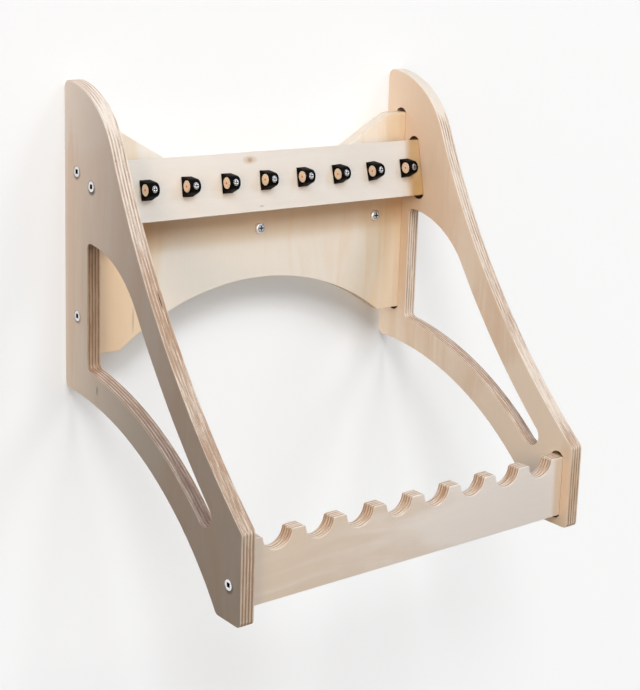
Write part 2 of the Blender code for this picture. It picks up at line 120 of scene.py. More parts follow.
# Light: each lamp's place, size, the red, green and blue that a white board facing it would show, and
# the pieces that are screened from it, or that it alone lights
AIM = Vector((0, -0.12, 0.2))
LAMPS = (
    ("front_softbox", (-0.16, -0.70, 0.79), (0.4, 0.45), (0.54, 0.58, 0.56),
     ("wall", *BLOCK_SCREWS), "EXCLUDE"),
    ("low_softbox", (-0.10, -1.10, 0.30), (0.3, 0.4), (0.14, 0.10, 0.08), ("wall",), "EXCLUDE"),
    ("overhead_softbox", (-0.15, -0.50, 1.05), (0.5, 0.5), (0.03, 0.08, 0.14), ("wall",), "EXCLUDE"),
    ("side_window", (0.70, -0.90, 0.95), (0.2, 0.6), (0.20, 0.24, 0.32), ("wall",), "EXCLUDE"),
    ("left_fill", (-1.20, -0.90, 0.45), (0.4, 0.6), (0.27, 0.20, 0.13),
     ("wall", "left_board"), "EXCLUDE"),
    ("wall_side_softbox", (-0.50, -0.15, 0.75), (0.3, 0.3), (0.185, 0.165, 0.19), ("wall",), "EXCLUDE"),
    ("screw_glint", (0.74, -1.18, 0.50), (0.6, 0.4), (0.10, 0.10, 0.10), BLOCK_SCREWS, "INCLUDE"),
)
AMBIENT = (0.14, 0.13, 0.11)
AMBIENT_SHADE = 0.9
AMBIENT_TURN = (-0.8, 0.4)
BACKDROP = (0.94, 0.94, 0.94)
DIM_FRONT = (0.5, 0.5, 0.5)
DIM_TURN = (-0.8, 0.2)

# Light on the wall alone: where it comes from, how wide it is, and its share
WALL_LIGHTS = (
    ("wall_wash_above", (0.0, -0.5, 0.87), math.radians(20), 0.21),
    ("wall_wash_right", (0.5, -0.6, 0.62), math.radians(20), 0.09),
    ("wall_wash_left", (-0.4, -0.6, 0.7), math.radians(20), 0.24),
    ("wall_wash_wide", (0.0, -1.0, 0.2), math.radians(170), 0.42),
)

# Wall and floor
STAGE_SIZE = 5
WALL_GAP = 0.0008
WALL_COLOUR = (0.935, 0.94, 0.95)
WALL_GLOW = 0.22
CONTACT_REACH = 0.04
CONTACT_SHADE = (0.06, 0.03, 0.0)
CONTACT_SIDES = (0.145, 0.17)
CONTACT_TOP = (0.20, 0.24)
WALL_BOUNCE = (0.92, 0.92, 0.90)
BOUNCE_REACH = (0.02, 0.25)
FLOOR_DROP = 1.2
FLOOR_COLOUR = (0.78, 0.78, 0.78)
FLOOR_GLOW = 0.75

# Birch plywood: each board's veneer, lighter and darker, the colours of edges and marks, and the tint of
# painted shade
RAIL_PALE = (0.80, 0.73, 0.66)
RAIL_WARM = (0.76, 0.67, 0.575)
FRONT_PALE = (0.93, 0.875, 0.815)
FRONT_WARM = (0.80, 0.69, 0.575)
LEFT_PALE = (0.90, 0.76, 0.62)
LEFT_WARM = (0.86, 0.665, 0.50)
RIGHT_PALE = (0.92, 0.80, 0.68)
RIGHT_WARM = (0.80, 0.62, 0.465)
BACK_PALE = (0.91, 0.835, 0.735)
BACK_WARM = (0.86, 0.68, 0.485)
LONG_GRAIN = (0.87, 0.74, 0.61)
END_GRAIN = (0.47, 0.295, 0.19)
# Dark of cracks, and also of the painted shade beside sunk screw heads
CRACK_AND_SHADE = (0.05, 0.022, 0.012)
KNOT = (0.45, 0.25, 0.11)
# Painted shade inside the mortises' round reliefs
HOLLOW_SHADE = (0.075, 0.034, 0.013)
HOLLOW_SIZE = (0.009, 0.009)
# Yellowish dark tint of painted shade, laid on the wood where shadow falls
PAINTED_SHADE_TINT = (0.72, 0.50, 0.25)
SHADE_RIM = 0.4
MARK_RIM = (0.1, 1.0)

# Veneer: noise scales along, across and through a board, and how strongly each pattern shows
SEED_STEP = 5.3
DRIFT = (4, 24, 40)
DRIFT_SHARE = 0.52
STREAKS = (6, 85, 60)
STREAK_SHARE = 0.38
STREAK_WANDER = 9 / 85
MOTTLE = (60, 75, 60)
MOTTLE_SHARE = 0.10
FIGURE_RANGE = (0.34, 0.68)
FIBRE = (55, 1300, 300)
FIBRE_SHADE = 0.05
FIBRE_GLOSS = 0.10
FIBRE_HEIGHT = 0.5
PORES = (130, 2300, 900)
PORE_RANGE = (0.66, 0.78)
PORE_SHADE = 0.05
PORE_DEPTH = 0.6
FACE_RANGE = (PLY / 2 - 0.00045, PLY / 2 - 0.00025)
VENEER_LEVEL = 1.02
WOOD_ROUGHNESS = 0.62
EDGE_ROUGHNESS = 0.08
WOOD_BUMP = (0.25, 0.0002)
WOOD_SHINE = 0.3

# Edges of the plies: how far they waver, their noise scales, and what darkens a ply
PLIES = 9
WAVER = 45
WAVER_SEED = 3
WAVER_SHARE = 0.6
EDGE_DETAIL = 3
TINT = 55
TINT_STEP = 3.7
TINT_SHARE = 1.3
DASHES = (75, 75, 2400)
DASH_SHARE = 1.5
DASH_HEIGHT = 0.6
FLECKS = (900, 900, 1900)
FLECK_SHARE = 0.6
CUT_SHARE = 0.75
CUT_START = 0.125
CUT_RANGE = (-0.05, 0.85)
END_SHARE = 0.4
GLUE_RANGE = (0.40, 0.5)
GLUE_SHADE = 0.20
GLUE_DEPTH = 0.5

# Black plastic of the blade holders
PLASTIC_DARK = (0.003, 0.0024, 0.002)
PLASTIC_PALE = (0.006, 0.0048, 0.004)
PLASTIC_CLOUD = (260, 260, 260)
PLASTIC_PEBBLE = (4000, 4000, 4000)
PLASTIC_ROUGHNESS = 0.38
PLASTIC_CLOUDING = 0.12
PLASTIC_BUMP = (0.05, 0.00005)
PLASTIC_SHINE = 0.012

# Metals: name, clean colour, dull colour, roughness
# The magnets' nickel plate: its warm tint is a painted reflection of the wood round it
NICKEL_AND_PAINTED_REFLECTION = ("magnet_nickel_painted_reflection", (0.92, 0.73, 0.55), (0.86, 0.65, 0.47), 0.28)
TARNISH = ("magnet_dimple_tarnish", (0.70, 0.17, 0.07), (0.50, 0.11, 0.05), 0.6)
# A dark material that paints the shade inside the screws' driver recesses
SHADE_PAINT = ("screw_recess_shade_paint", (0.05, 0.05, 0.055), (0.02, 0.02, 0.022), 0.5)
STEEL = ("block_screw_steel", (0.50, 0.50, 0.50), (0.40, 0.40, 0.40), 0.15)
ZINC = ("screw_zinc_plate", (0.92, 0.93, 0.95), (0.80, 0.82, 0.85), 0.38)
METAL_CLOUD = (500, 500, 500)
METAL_SCRATCH = (900, 6000, 6000)
SCRATCH_LEVEL = 0.7
SCRATCH_SHARE = 0.6

# Modelling
EASED_EDGE = 0.0004
FLAT_ANGLE = math.radians(0.3)
EDGE_ANGLE = math.radians(50)
SMOOTH_ANGLE = math.radians(35)
MERGE = 1e-6
FACING = 0.9
LEVEL = 0.99
NOSE_SIDES = 56
POCKET_SIDES = 48
HOLE_SIDES = 32
MAGNET_SIDES = 64
HEAD_SIDES = 48
THREAD_STEPS = 20

RAIL_UP = Vector((0, math.sin(RAIL_LEAN), math.cos(RAIL_LEAN)))
RAIL_IN = Vector((0, math.cos(RAIL_LEAN), -math.sin(RAIL_LEAN)))
X = Vector((1, 0, 0))
Y = Vector((0, 1, 0))
Z = Vector((0, 0, 1))
TO_FRONT = Matrix.Rotation(math.radians(90), 4, "X")


class Value:
    """A shader socket. Arithmetic with it adds Math nodes to its tree."""

    def __init__(self, socket):
        self.socket = socket
        self.tree = socket.id_data

    def node(self, kind, settings, sockets):
        """Adds a node beside this socket, as add_node does."""
        return add_node(self.tree, kind, settings, sockets)

    def math(self, operation, first, second=0):
        return self.node("Math", {"operation": operation}, {0: first, 1: second})["Value"]

    def __add__(self, other):
        return self.math("ADD", self, other)

    def __radd__(self, other):
        return self.math("ADD", other, self)

    def __sub__(self, other):
        return self.math("SUBTRACT", self, other)

    def __rsub__(self, other):
        return self.math("SUBTRACT", other, self)

    def __mul__(self, other):
        return self.math("MULTIPLY", self, other)

    def __rmul__(self, other):
        return self.math("MULTIPLY", other, self)

    def __truediv__(self, other):
        return self.math("DIVIDE", self, other)

    def __mod__(self, other):
        return self.math("MODULO", self, other)

    def __abs__(self):
        return self.math("ABSOLUTE", self)

    def floor(self):
        return self.math("FLOOR", self)

    def most(self, other):
        return self.math("MAXIMUM", self, other)

    def step(self, low, high):
        """Rises smoothly from 0 at low to 1 at high."""
        sockets = {"Value": self, "From Min": low, "From Max": high}
        return self.node("MapRange", {"interpolation_type": "SMOOTHSTEP"}, sockets)["Result"]


def add_node(tree, kind, settings, sockets):
    """Adds a node: its settings first, then the values or links of its sockets; returns its outputs."""
    made = tree.nodes.new("ShaderNode" + kind)
    for key, setting in settings.items():
        setattr(made, key, setting)
    for key, given in sockets.items():
        if isinstance(given, Value):
            tree.links.new(given.socket, made.inputs[key])
        else:
            made.inputs[key].default_value = given
    return {output.name: Value(output) for output in made.outputs if output.enabled}


def blend(factor, first, second):
    """A colour between two colours."""
    sockets = {0: factor, 6: first, 7: second}
    return factor.node("Mix", {"data_type": "RGBA"}, sockets)["Result"]


def scaled(colour, factor):
    """A colour made lighter or darker."""
    return factor.node("VectorMath", {"operation": "SCALE"}, {0: colour, "Scale": factor})["Vector"]


def along_axis(point, axis):
    """How far a point lies along an axis."""
    return point.node("VectorMath", {"operation": "DOT_PRODUCT"}, {0: point, 1: tuple(axis)})["Value"]


def noise(x, y, z, detail=2.0):
    """Soft noise from 0 to 1, read at three coordinates."""
    sockets = {"X": x, "Y": y, "Z": z}
    place = x.node("CombineXYZ", {}, sockets)["Vector"]
    return x.node("TexNoise", {}, {"Vector": place, "Scale": 1, "Detail": detail})["Fac"]


def pattern(x, y, z, scales, seed=0, detail=2.0):
    """Soft noise with its own scale along each coordinate."""
    return noise(x * scales[0], y * scales[1], z * scales[2] + seed, detail)


def object_place(tree):
    """The three Object coordinates of a point on the surface."""
    point = add_node(tree, "TexCoord", {}, {})["Object"]
    return along_axis(point, X), along_axis(point, Y), along_axis(point, Z)


def opaque(colour):
    return (*colour, 1)


def new_material(name):
    """An empty material and its Principled shader."""
    material = bpy.data.materials.new(name)
    material.use_nodes = True
    return material, material.node_tree, material.node_tree.nodes["Principled BSDF"]


def link(value, socket):
    value.tree.links.new(value.socket, socket)


def bump(height, strength, distance):
    sockets = {"Height": height, "Strength": strength, "Distance": distance}
    return height.node("Bump", {}, sockets)["Normal"]


def birch_plywood(board):
    """Plywood of one board: its grain runs along, its plies are stacked through, about the middle."""
    material, tree, shader = new_material(board["name"] + "_birch")
    seed = board["seed"]
    place = add_node(tree, "TexCoord", {}, {})
    point = place["Object"]
    u = along_axis(point, board["along"])
    v = along_axis(point, board["across"])
    t = along_axis(point, board["through"]) - board["middle"]
    face = abs(t).step(*FACE_RANGE)
    drift = pattern(u, v, t, DRIFT, seed)
    streaks = pattern(u, v + drift * STREAK_WANDER, t, STREAKS, seed)
    fibre = pattern(u, v, t, FIBRE, seed)
    mottle = pattern(u, v, t, MOTTLE, seed)
    pores = pattern(u, v, t, PORES, seed).step(*PORE_RANGE)
    figure = drift * DRIFT_SHARE + streaks * STREAK_SHARE + mottle * MOTTLE_SHARE
    # Tone patches: the boards' own tones together with painted light and shade
    figure = figure + spots(u, v, board["tones_and_painted_light"])
    veneer = blend(figure.step(*FIGURE_RANGE), opaque(board["pale"]), opaque(board["warm"]))
    veneer = scaled(veneer, VENEER_LEVEL - FIBRE_SHADE * fibre - PORE_SHADE * pores)
    edge, layer = ply_edge(place["Normal"], u, v, t, board)
    # Painted shade on edges that lie in shade, and a painted dark inside the mortises' round reliefs
    edge = with_painted_shade(edge, spots(u, v, board["edge_painted_shades"]))
    edge = blend(spots(u, v, board["hollow_shades"]), edge, opaque(HOLLOW_SHADE))
    # Painted shade and painted shadows, darkening and yellowing the whole colour
    depth = spots(u, v, board["painted_shades"]) + spots(u, v, board["shades"], SHADE_RIM)
    colour = with_painted_shade(blend(face, edge, veneer), depth)
    # Marks: knots and cracks, and painted shade in the gaps beside sunk screw heads
    for spot, size, strength, tone in board["marks"]:
        near = ((u - spot[0]) / size[0], (v - spot[1]) / size[1], (t - spot[2]) / size[2])
        away = near[0] * near[0] + near[1] * near[1] + near[2] * near[2] + (mottle - 0.5)
        colour = blend(strength * (1 - away.step(*MARK_RIM)), colour, opaque(tone))
    link(colour, shader.inputs["Base Color"])
    roughness = WOOD_ROUGHNESS - FIBRE_GLOSS * fibre + EDGE_ROUGHNESS * (1 - face)
    link(roughness, shader.inputs["Roughness"])
    height = fibre * face * FIBRE_HEIGHT - pores * face * PORE_DEPTH + layer * (1 - face)
    link(bump(height, *WOOD_BUMP), shader.inputs["Normal"])
    shader.inputs["Specular IOR Level"].default_value = WOOD_SHINE
    return material


def with_painted_shade(colour, depth):
    """A colour yellowed and darkened by painted shade, as deep as asked."""
    sockets = {0: depth, 6: colour, 7: opaque(PAINTED_SHADE_TINT)}
    return depth.node("Mix", {"data_type": "RGBA", "blend_type": "MULTIPLY"}, sockets)["Result"]


def spots(u, v, tones_and_painted_light, soft=1.0):
    """Oval patches with soft rims, each by its middle, half sizes and strength; 0 elsewhere."""
    total = u * 0
    for spot, size, strength in tones_and_painted_light:
        near = ((u - spot[0]) / size[0], (v - spot[1]) / size[1])
        away = near[0] * near[0] + near[1] * near[1]
        total = total + strength * (1 - away.step(0.5 - soft / 2, 0.5 + soft / 2))
    return total


def ply_edge(normal, u, v, t, board):
    """The plies on an edge: a ply shows dark end grain where the edge cuts across its fibres."""
    seed = board["seed"]
    waver = noise(u * WAVER, v * WAVER, seed + WAVER_SEED) - 0.5
    depth = (t / PLY + 0.5) * PLIES + waver * WAVER_SHARE
    index = depth.floor()
    inside = abs(depth - index - 0.5)
    crossed = index % 2
    run = along_axis(normal, board["along"])
    run = run * run
    cut = crossed + run - 2 * crossed * run
    tint = noise(index * TINT_STEP, u * TINT, v * TINT + seed, EDGE_DETAIL)
    dashes = pattern(u, v, t, DASHES, seed, EDGE_DETAIL)
    flecks = pattern(u, v, t, FLECKS, seed)
    share = cut * CUT_SHARE - CUT_START + run * END_SHARE + spots(u, v, board["edge_tones_and_painted_light"])
    share = share + (dashes - 0.5) * DASH_SHARE
    share = share + (flecks - 0.5) * FLECK_SHARE + (tint - 0.5) * TINT_SHARE
    edge = blend(share.step(*CUT_RANGE), opaque(LONG_GRAIN), opaque(END_GRAIN))
    glue = inside.step(*GLUE_RANGE)
    edge = scaled(edge, 1.0 - GLUE_SHADE * glue)
    return edge, dashes * DASH_HEIGHT - glue * GLUE_DEPTH


def black_plastic():
    """Black moulded plastic with a faint unevenness."""
    material, tree, shader = new_material("holder_black_plastic")
    x, y, z = object_place(tree)
    cloud = pattern(x, y, z, PLASTIC_CLOUD)
    pebble = pattern(x, y, z, PLASTIC_PEBBLE)
    link(blend(cloud, opaque(PLASTIC_DARK), opaque(PLASTIC_PALE)), shader.inputs["Base Color"])
    link(PLASTIC_ROUGHNESS + PLASTIC_CLOUDING * cloud, shader.inputs["Roughness"])
    link(bump(pebble, *PLASTIC_BUMP), shader.inputs["Normal"])
    shader.inputs["Specular IOR Level"].default_value = PLASTIC_SHINE
    return material


def bright_metal(name, clean, dull, roughness):
    """Plated metal with faint clouding and tiny scratches."""
    material, tree, shader = new_material(name)
    x, y, z = object_place(tree)
    cloud = pattern(x, y, z, METAL_CLOUD)
    scratch = pattern(x, y, z, METAL_SCRATCH)
    link(blend(cloud, opaque(clean), opaque(dull)), shader.inputs["Base Color"])
    link(roughness * (SCRATCH_LEVEL + SCRATCH_SHARE * scratch), shader.inputs["Roughness"])
    shader.inputs["Metallic"].default_value = 1
    return material


def deselect():
    bpy.ops.object.select_all(action="DESELECT")


def edit(piece):
    """Makes one piece active and opens it in edit mode."""
    deselect()
    piece.select_set(True)
    bpy.context.view_layer.objects.active = piece
    bpy.ops.object.mode_set(mode="EDIT")


def close():
    bpy.ops.object.mode_set(mode="OBJECT")


def pick(piece, domain, test):
    """Opens a piece with just those faces or edges selected whose points and normal pass the test."""
    edit(piece)
    bpy.ops.mesh.select_mode(type=domain)
    bpy.ops.mesh.select_all(action="DESELECT")
    close()
    mesh = piece.data
    items = mesh.polygons if domain == "FACE" else mesh.edges
    for item in items:
        points = [mesh.vertices[index].co for index in item.vertices]
        normal = item.normal if domain == "FACE" else None
        item.select = test(points, normal)
    edit(piece)


def grow(vector):
    """Extrudes what is selected."""
    bpy.ops.mesh.extrude_region_move(TRANSFORM_OT_translate={"value": vector})


def apply_modifier(piece, kind, **settings):
    """Adds a modifier with its settings and applies it."""
    deselect()
    piece.select_set(True)
    bpy.context.view_layer.objects.active = piece
    modifier = piece.modifiers.new(kind.lower(), kind)
    for key, setting in settings.items():
        setattr(modifier, key, setting)
    bpy.ops.object.modifier_apply(modifier=modifier.name)


def combine(piece, tool, operation):
    """Cuts a tool out of a piece, or joins it on, and removes the tool."""
    apply_modifier(piece, "BOOLEAN", operation=operation, solver="EXACT", object=tool)
    bpy.data.objects.remove(tool)


def shade(piece):
    """Smooth shading that keeps true edges."""
    deselect()
    piece.select_set(True)
    bpy.context.view_layer.objects.active = piece
    bpy.ops.object.shade_smooth_by_angle(angle=SMOOTH_ANGLE)


def add_cylinder(name, sides, radius, depth, place, rotation=(0, 0, 0)):
    deselect()
    bpy.ops.mesh.primitive_cylinder_add(
        vertices=sides, radius=radius, depth=depth, location=place, rotation=rotation
    )
    made = bpy.context.active_object
    made.name = name
    bpy.ops.object.transform_apply(location=True, rotation=True, scale=True)
    return made


def add_box(name, size, place):
    deselect()
    bpy.ops.mesh.primitive_cube_add(size=1, location=place)
    made = bpy.context.active_object
    made.name = name
    made.scale = size
    bpy.ops.object.transform_apply(location=True, rotation=True, scale=True)
    return made


def dressed_board(node, name, material):
    """A plywood node's shape with its triangles merged into whole faces and its edges eased."""
    board = bpy.data.objects.new(name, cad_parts[node].data.copy())
    bpy.context.scene.collection.objects.link(board)
    edit(board)
    bpy.ops.mesh.select_all(action="SELECT")
    bpy.ops.mesh.remove_doubles(threshold=MERGE)
    bpy.ops.mesh.dissolve_limited(angle_limit=FLAT_ANGLE)
    bpy.ops.mesh.customdata_custom_splitnormals_clear()
    close()
    apply_modifier(
        board, "BEVEL", width=EASED_EDGE, segments=2, limit_method="ANGLE", angle_limit=EDGE_ANGLE,
        use_clamp_overlap=False,
    )
    bpy.ops.object.shade_smooth()
    apply_modifier(board, "WEIGHTED_NORMAL", keep_sharp=True)
    board.data.materials.clear()
    settle(board, [material], "till", node)


def settle(piece, materials, body, node):
    """Gives a finished piece its materials and its place in the frame."""
    for material in materials:
        piece.data.materials.append(material)
    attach(piece, body)
    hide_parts(node)


def put_copy(model, name, place, materials, body, node):
    """A copy of a modelled piece, with its own mesh, in the place of a CAD node."""
    piece = bpy.data.objects.new(name, model.data.copy())
    piece.data.transform(place)
    bpy.context.scene.collection.objects.link(piece)
    settle(piece, materials, body, node)


def holder_place(index):
    """A holder's frame: on the magnet rail's front face, with -Y out of it, turned on its screw."""
    rail = Matrix.Translation(RAIL_LOWER_EDGE) @ Matrix.Rotation(-RAIL_LEAN, 4, "X")
    foot = ((index - (STATIONS - 1) / 2) * PITCH + HOLDER_SIDESTEP, 0, HOLDER_RISE)
    turn = math.radians(HOLDER_TURNS[index])
    return rail @ Matrix.Translation(foot) @ Matrix.Rotation(-turn, 4, "Y")


def holder_block():
    """A block with a round nose that widens back to the rail, a magnet's pocket and a screw's hole."""
    spring = NOSE_RADIUS - HOLDER_REACH
    middle = HOLDER_WIDTH / 2 - HOLDER_SCREW_INSET
    sideways = (0, math.radians(90), 0)
    corner = Vector((FIT + spring, HOLDER_HEIGHT / 2))
    spread = math.atan2(corner.y, corner.x) - math.acos(NOSE_RADIUS / corner.length)
    flank = spring - NOSE_RADIUS * math.cos(spread)
    nose = (middle, spring, 0)
    block = add_cylinder("block_model", NOSE_SIDES, NOSE_RADIUS, HOLDER_WIDTH, nose, sideways)
    edit(block)
    bpy.ops.mesh.select_all(action="SELECT")
    bpy.ops.mesh.bisect(plane_co=(0, flank, 0), plane_no=(0, 1, 0), use_fill=True, clear_outer=True)
    close()
    pick(block, "FACE", lambda points, normal: normal.y > FACING)
    grow((0, -FIT - flank, 0))
    widen = HOLDER_HEIGHT / 2 / (NOSE_RADIUS * math.sin(spread))
    bpy.ops.transform.resize(value=(1, 1, widen))
    bpy.ops.mesh.select_all(action="SELECT")
    bpy.ops.mesh.dissolve_limited(angle_limit=FLAT_ANGLE)
    close()
    rim = HOLDER_WIDTH / 2 - MERGE
    pick(block, "EDGE", lambda points, normal: abs((points[0].x + points[1].x) / 2 - middle) > rim)
    bpy.ops.mesh.bevel(offset=HOLDER_EDGE, segments=3, affect="EDGES")
    close()
    depth = 2 * (MAGNET_THICKNESS + FIT)
    face = (-HOLDER_SCREW_INSET, spring, 0)
    pocket = add_cylinder("pocket", POCKET_SIDES, MAGNET_RADIUS + FIT, depth, face, sideways)
    combine(block, pocket, "DIFFERENCE")
    shank, head = HOLDER_SCREW[:2]
    forward = (math.radians(90), 0, 0)
    mouth = (0, -HEAD_SEAT - COUNTERBORE, 0)
    bore = add_cylinder("bore", HOLE_SIDES, head + FIT, 2 * COUNTERBORE, mouth, forward)
    combine(block, bore, "DIFFERENCE")
    inside = (0, -HOLDER_REACH / 2, 0)
    hole = add_cylinder("hole", HOLE_SIDES, shank + FIT, 2 * HOLDER_REACH, inside, forward)
    combine(block, hole, "DIFFERENCE")
    shade(block)
    return block


def holder_magnet():
    """A disc magnet with an eased rim and a small dimple in the middle of its face."""
    place = (0, 0, -MAGNET_THICKNESS / 2)
    disc = add_cylinder("magnet_model", MAGNET_SIDES, MAGNET_RADIUS, MAGNET_THICKNESS, place)
    pick(disc, "EDGE", lambda points, normal: all(p.z > -MERGE for p in points))
    bpy.ops.mesh.bevel(offset=MAGNET_CHAMFER, segments=3, affect="EDGES")
    close()
    pick(disc, "FACE", lambda points, normal: normal.z > FACING and len(points) > 4)
    bpy.ops.mesh.inset(thickness=MAGNET_RADIUS - MAGNET_CHAMFER - DIMPLE_RADIUS)
    grow((0, 0, -DIMPLE_DEPTH))
    bpy.ops.transform.resize(value=(DIMPLE_TAPER, DIMPLE_TAPER, 1))
    close()
    for face in disc.data.polygons:
        sunk = 0 > face.center.z > -2 * DIMPLE_DEPTH
        face.material_index = int(sunk and face.center.xy.length < DIMPLE_RADIUS)
    shade(disc)
    return disc


def wood_screw(name, sizes, flat, recess):
    """A threaded screw with a driver recess: its pan head sits on Z = 0, or its flat head lies below."""
    shank, head, height, length = sizes
    root = shank * ROOT_SHARE
    if flat:
        screw = add_cylinder(name, HEAD_SIDES, head, SIDE_HEAD_RIM, (0, 0, -SIDE_HEAD_RIM / 2))
        pick(screw, "FACE", lambda points, normal: normal.z < -FACING)
        grow((0, 0, SIDE_HEAD_RIM - height))
        bpy.ops.transform.resize(value=(root / head, root / head, 1))
        top = 0
        foot = -height
    else:
        screw = add_cylinder(name, HEAD_SIDES, head, height, (0, 0, height / 2))
        pick(screw, "EDGE", lambda points, normal: all(p.z > height - MERGE for p in points))
        bpy.ops.mesh.bevel(offset=height * PAN_ROUNDING, segments=6, affect="EDGES")
        close()
        pick(screw, "FACE", lambda points, normal: normal.z < -FACING)
        bpy.ops.mesh.inset(thickness=head - root)
        top = height
        foot = 0
    grow((0, 0, SCREW_POINT - length - foot))
    grow((0, 0, -SCREW_POINT))
    bpy.ops.transform.resize(value=(POINT_SHARE, POINT_SHARE, 1))
    close()
    combine(screw, thread(root, shank, foot - THREAD_START, SCREW_POINT - length), "UNION")
    for turn in recess["turns"]:
        combine(screw, recess_tool(recess, top, turn), "DIFFERENCE")
    # Faces inside the driver recess take the second material, a painted dark shade
    for face in screw.data.polygons:
        sunk = top - MERGE > face.center.z > top - recess["depth"] - MERGE
        inward = face.center.xy.dot(face.normal.xy) < -MERGE * head
        face.material_index = int(sunk and (inward or face.normal.z > LEVEL))
    shade(screw)
    return screw


def thread(root, crest, high, low):
    """A helical ridge round the shank from one height down to another."""
    pitch = THREAD_PITCH * crest
    turns = int((high - low) / pitch) - 1
    deselect()
    bpy.ops.mesh.primitive_circle_add(vertices=3, radius=1, location=(0, 0, 0))
    ridge = bpy.context.active_object
    base = root - THREAD_SINK
    spread = THREAD_SPREAD * pitch
    profile = ((base, -spread), (crest, 0), (base, spread))
    for corner, (radius, height) in zip(ridge.data.vertices, profile):
        corner.co = (radius, 0, low + 0.5 * pitch + height)
    apply_modifier(
        ridge, "SCREW", axis="Z", steps=THREAD_STEPS, render_steps=THREAD_STEPS, screw_offset=pitch,
        iterations=turns, use_merge_vertices=False,
    )
    edit(ridge)
    bpy.ops.mesh.select_all(action="SELECT")
    bpy.ops.mesh.fill_holes(sides=3)
    bpy.ops.mesh.select_all(action="SELECT")
    bpy.ops.mesh.normals_make_consistent(inside=False)
    close()
    return ridge


def recess_tool(recess, top, turn):
    """A tapered bar that cuts one arm of a driver recess into a head."""
    long, wide = recess["bar"]
    depth = recess["depth"]
    tool = add_box("recess", (long, wide, 2 * depth), (0, 0, top))
    pick(tool, "FACE", lambda points, normal: normal.z < -FACING)
    bpy.ops.transform.resize(value=(recess["taper"], recess["taper"], 1))
    close()
    tool.rotation_euler = (0, 0, turn)
    deselect()
    tool.select_set(True)
    bpy.context.view_layer.objects.active = tool
    bpy.ops.object.transform_apply(location=True, rotation=True, scale=True)
    return tool


def to_side(side):
    """Turns +Z out of the left face (side -1) or the right face (side 1)."""
    return Matrix.Rotation(side * math.radians(90), 4, "Y")


def screw_shades(side, word):
    """Painted shade in the gap beside each sunk screw head on a side board, below it and towards the
    front.
    """
    reach = SIDE_SCREW[1] * HEAD_GAP_REACH
    shades = []
    for kind in SIDE_SCREWS:
        low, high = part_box(f"{kind}_{word}")
        middle = (low + high) / 2
        spot = (middle.z - HEAD_GAP_DROP, middle.y - HEAD_GAP_FRONT, side * PLY / 2)
        shades.append((spot, (reach, reach, HEAD_GAP_DEPTH), HEAD_GAP_SHADE, CRACK_AND_SHADE))
    return tuple(shades)


